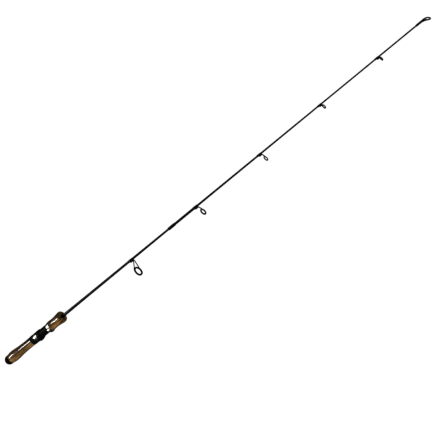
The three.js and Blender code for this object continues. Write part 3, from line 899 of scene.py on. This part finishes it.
def ring_band(size):
    """The metal band round a ring, turned about the X axis, with rolled edges."""
    half, outer, inner = size["frame"] / 2, size["outer"], size["seat"]
    roll = min(half, outer - inner) * 0.45
    corners = [(-half, inner, 0), (-half, outer, roll), (half, outer, roll), (half, inner, 0)]
    return turned(rounded(corners), True, 64)


def ring_insert(size):
    """The polished ring that the line runs through, turned about the X axis."""
    half, outer = size["insert"] / 2, size["seat"] - 0.02
    rim = outer - 0.25
    deep = rim - size["inner"]
    steps = 12
    bowl = []
    for i in range(steps + 1):
        a = math.pi * i / steps
        bowl.append((half * math.cos(a), rim - deep * math.sin(a)))
    return turned([(-half, outer), (half, outer), *bowl], True, 64)


def wire(points, radius):
    """A round wire bent through a few points."""
    return swept(smooth(points, 6), lambda t: ellipse(radius, radius, 1.0, 12))


def guide_parts(spec):
    """The parts joined into a guide's frame: its ring band, its foot and its one stem or two wire legs."""
    size = ring_sizes(spec["outer"], spec["inner"])
    thickness, width = foot_thickness(spec), foot_width(spec)
    foot_y = -(blank_at(spec["base"] - spec["foot"]) + GAP + thickness / 2)
    toe = (spec["base"] - spec["foot"], foot_y, 0)
    band = placed(ring_band(size), RING_LEAN, spec["ring"], -spec["height"])
    stem = spec.get("stem", thickness)

    def strap(t):
        ground = 0.35 + 0.65 * ease(t * 5)
        depth = thickness + (stem - thickness) * ease(t * 2.5 - 1)
        return ellipse(width / 2, depth / 2 * ground, 0.5)

    if "legs" in spec:
        foot = swept(smooth([toe, (spec["base"] - 6, foot_y, 0), (spec["base"] + 0.6, foot_y, 0)], 6), strap)
        reach = size["seat"] + WIRE_RADIUS - 0.1
        legs = []
        for side in (-1, 1):
            legs.append(wire([
                (spec["base"], foot_y, side * 0.5),
                (spec["base"] + 1, foot_y - 5, side * 2.4),
                (spec["ring"] - 1.5, -spec["height"] + reach * 0.95, side * reach * 0.66),
                (spec["ring"] - 0.4, -spec["height"] + reach * 0.42, side * reach * 0.93),
            ], WIRE_RADIUS))
        return band, [foot, *legs]
    overlap = (size["outer"] - size["seat"]) * 0.45
    top = (
        spec["ring"] - size["outer"] * math.sin(RING_LEAN),
        -spec["height"] + size["outer"] * math.cos(RING_LEAN) - overlap,
        0,
    )
    knee = (spec["base"], foot_y - thickness * 0.3, 0)
    middle = tuple((a + b) / 2 for a, b in zip(knee, top))
    line = smooth([toe, (spec["base"] - 4, foot_y, 0), (spec["base"] - 1, foot_y, 0), knee, middle, top], 6)
    return band, [swept(line, strap)]


def make_wrap(spec, index, body):
    """Thread and varnish over a guide's foot, swelling from round the blank to round blank and foot."""
    end = spec["base"] - 1.3
    start = end - spec["wrap"]
    toe = spec["base"] - spec["foot"]
    foot_top = blank_at(toe) + GAP + foot_thickness(spec)
    offset = foot_top * 0.62
    small = math.hypot(foot_top - offset, foot_width(spec) / 2) + 0.2
    thickest = 0.38

    def outside(x):
        varnish = thickest * ease((x - start) / 1.5 + 0.1) * ease((end - x) / 1.3 + 0.1)
        hump = ease((x - toe + 1.5) / 3.5)
        round_radius = blank_at(x) + 0.03 + varnish
        ridge = ridged(x, start, end, 0.035)

        def support(a):
            small_radius = small + varnish - 0.12
            return max(round_radius, hump * (offset * math.cos(a) + small_radius))
        return lambda angle: (x, hull_radius(angle, support, 32) + ridge)

    sections = [outside(x) for x in thread_stations(start, end)]
    sections += [lambda angle: (end, blank_at(end)), lambda angle: (start, blank_at(start))]
    name = f"guide_{index}_wrap"
    piece(f"{name}_thread", shaped(sections, 40), THREAD, body, name, 60)


def make_guides():
    """A frame, a ring insert and a wrap for each guide. Only the first guide is on the butt section."""
    for index, spec in enumerate(GUIDES, 1):
        body = "handle" if index == 1 else "tip_section"
        name = f"guide_{index}"
        band, others = guide_parts(spec)
        frame_mesh = combined(f"{name}_frame_metal", band, others)
        piece(f"{name}_frame_metal", frame_mesh, GUIDE_METAL, body, f"{name}_frame")
        ring = ring_insert(ring_sizes(spec["outer"], spec["inner"]))
        insert = placed(ring, RING_LEAN, spec["ring"], -spec["height"])
        piece(f"{name}_ring_insert", insert, CERAMIC, body, f"{name}_ring", 60)
        make_wrap(spec, index, body)


def make_tip_top():
    """A tube over the tip of the blank, two braces and a ring that looks up and back."""
    size = ring_sizes(TIP_RING["outer"], TIP_RING["inner"])
    bore = radius_at(TIP_BLANK, TUBE_START) + 0.05
    tube = turned([
        (TIP_BLANK_END + GAP, 0.0), (TIP_BLANK_END + GAP, bore), (TUBE_START, bore),
        (TUBE_START, TUBE_RADIUS - 0.12), (TUBE_START + 0.2, TUBE_RADIUS), (TUBE_END - 1.2, TUBE_RADIUS),
        (TUBE_END - 0.5, 1.65), (TUBE_END, 1.0), (TUBE_END, 0.0),
    ], False, 40)
    band = placed(ring_band(size), TIP_RING_LEAN, TIP_RING["x"], TIP_RING["y"])
    braces = [wire([
        (TUBE_END - 7, -1.2, side * 1.1), (TUBE_END - 3, -1.5, side * 2.2),
        (TIP_RING["x"] - 2.2, TIP_RING["y"] + 0.8, side * (size["outer"] - 0.5)),
    ], TIP_WIRE_RADIUS) for side in (-1, 1)]
    mesh = combined("tip_top_metal", band, [tube, *braces])
    piece("tip_top_metal", mesh, GUIDE_METAL, "tip_section", "tip_top_frame")
    insert = placed(ring_insert(size), TIP_RING_LEAN, TIP_RING["x"], TIP_RING["y"])
    piece("tip_top_ring_insert", insert, CERAMIC, "tip_section", "tip_top_ring", 60)


def finish_arbors():
    """The packing inside the seat keeps its CAD shape and takes a grained material."""
    for name in ("rear_arbor", "front_arbor"):
        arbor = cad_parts[name]
        arbor.data.materials.clear()
        arbor.data.materials.append(PACKING)


make_butt_cap()
make_rear_grip()
make_foregrip()
make_winding_check()
make_seat_barrel()
make_locking_nut()
make_sliding_hood()
make_hood_band()
make_fixed_hood()
make_rivet()
make_blanks()
make_ferrule_wrap()
make_guides()
make_tip_top()
finish_arbors()


# ---------------------------------------------------------------- floor, light and camera

FLOOR_HALF = 30.0  # in metres, as are all lengths from here on


def make_floor(height):
    """A plain pale floor that glows enough to stay white round the rod."""
    mesh = bpy.data.meshes.new("floor")
    corners = [(x * FLOOR_HALF, y * FLOOR_HALF, height) for x, y in ((-1, -1), (1, -1), (1, 1), (-1, 1))]
    mesh.from_pydata(corners, [], [(0, 1, 2, 3)])
    material = bpy.data.materials.new("floor")
    material.use_nodes = True
    shader = material.node_tree.nodes["Principled BSDF"]
    shader.inputs["Base Color"].default_value = (0.15, 0.15, 0.15, 1)
    shader.inputs["Roughness"].default_value = 1.0
    shader.inputs["Specular IOR Level"].default_value = 0.0
    shader.inputs["Emission Color"].default_value = (1, 1, 1, 1)
    shader.inputs["Emission Strength"].default_value = 0.96
    mesh.materials.append(material)
    floor = bpy.data.objects.new("floor", mesh)
    bpy.context.collection.objects.link(floor)
    floor.visible_glossy = False


def area_light(name, place, target, size, power, glossy=True, roll=0.0):
    """A rectangular light turned to its target, then rolled about its own axis."""
    data = bpy.data.lights.new(name, "AREA")
    data.shape = "RECTANGLE"
    data.size, data.size_y = size
    data.energy = power
    light = bpy.data.objects.new(name, data)
    bpy.context.collection.objects.link(light)
    light.location = place
    light.rotation_mode = "QUATERNION"
    upright = (Vector(target) - Vector(place)).to_track_quat("-Z", "Y")
    light.rotation_quaternion = upright @ Matrix.Rotation(roll, 3, "Z").to_quaternion()
    light.visible_glossy = glossy
    light.visible_camera = False


def make_world(strength):
    world = bpy.data.worlds.new("studio")
    world.use_nodes = True
    world.node_tree.nodes["Background"].inputs["Color"].default_value = (1, 1, 1, 1)
    world.node_tree.nodes["Background"].inputs["Strength"].default_value = strength
    bpy.context.scene.world = world


def make_camera():
    """The photograph's view: from the tip end and above, turned so the butt is at the lower left."""
    data = bpy.data.cameras.new("camera")
    data.sensor_width = 36.0
    data.lens = 104.6
    data.clip_end = 100.0
    camera = bpy.data.objects.new("camera", data)
    bpy.context.collection.objects.link(camera)
    azimuth, elevation, roll = math.radians(51.36), math.radians(43.50), math.radians(-79.34)
    distance = 2.6078
    aim = Vector((0.7668, -0.0634, 0.0))
    level = Vector((math.sin(azimuth), -math.cos(azimuth), 0.0))
    back = level * math.cos(elevation) + Vector((0.0, 0.0, math.sin(elevation)))
    camera.location = aim + back * distance
    camera.rotation_mode = "QUATERNION"
    upright = (-back).to_track_quat("-Z", "Y")
    camera.rotation_quaternion = upright @ Matrix.Rotation(roll, 3, "Z").to_quaternion()
    bpy.context.scene.camera = camera


make_floor(cad_box[0].z)
make_world(0.04)
# The key is a tilted strip whose reflection runs along the lacquer, and the softbox gives the metal its grey
# tones. The fill lights the wood from the reel side, with no reflection of its own.
area_light("key", (-1.83, 0.13, 1.69), (0.12, 0, 0), (0.4, 0.85), 25, roll=math.radians(39))
area_light("softbox", (-1.75, -0.3, 1.95), (0.12, -0.3, 0), (2.2, 1.0), 4.0)
area_light("fill", (0.1, -3.2, 0.95), (0.1, 0, 0), (3.0, 1.5), 115, glossy=False)
make_camera()
bpy.context.scene.view_settings.view_transform = "Standard"
bpy.context.scene.view_settings.gamma = 0.75
